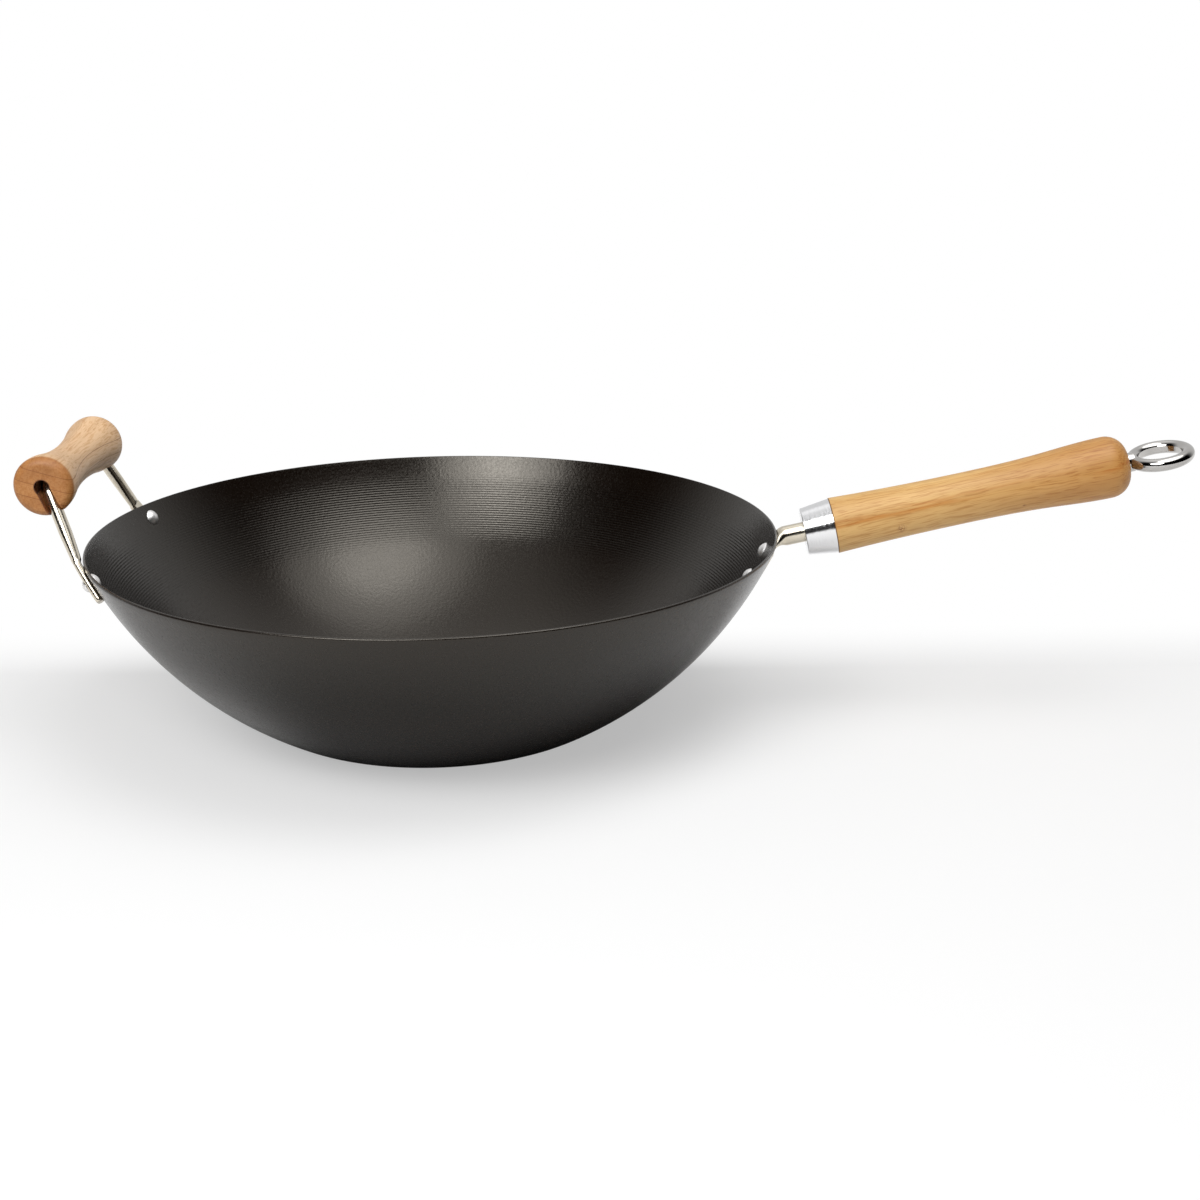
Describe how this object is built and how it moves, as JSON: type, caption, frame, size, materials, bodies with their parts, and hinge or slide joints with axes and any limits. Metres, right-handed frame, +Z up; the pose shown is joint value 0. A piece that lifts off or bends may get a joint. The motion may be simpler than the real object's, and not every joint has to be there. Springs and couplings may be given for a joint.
{
  "type": "wok",
  "caption": "Flat-based round wok of thin dark steel with a turned bamboo long handle, a metal ferrule and hanging eye, and a bamboo spool helper handle on a bent rod.",
  "frame": {"origin": "centre of the flat base's underside", "axes": "+Z up along the bowl's axis, +X along the long handle, +Y along the helper handle's spool"},
  "size_m": [0.5824, 0.3496, 0.1487],
  "materials": {
    "coated_steel": "satin dark coating on steel, finely ribbed inside",
    "plated_steel": "bright nickel or chrome plating",
    "rivet_metal": "satin",
    "ferrule_metal": "bright, brushed lengthwise",
    "bamboo": "turned and lightly varnished"
  },
  "bodies": {
    "root": {"bowl": "coated_steel", "handle_rod": "plated_steel", "handle_rivet_upper": "rivet_metal", "handle_rivet_lower": "rivet_metal", "handle_ferrule": "ferrule_metal", "handle_grip": "bamboo", "hanging_eye": "plated_steel", "helper_bail": "plated_steel", "helper_grip": "bamboo", "helper_rivet_near": "rivet_metal", "helper_rivet_far": "rivet_metal"}
  },
  "joints": []
}
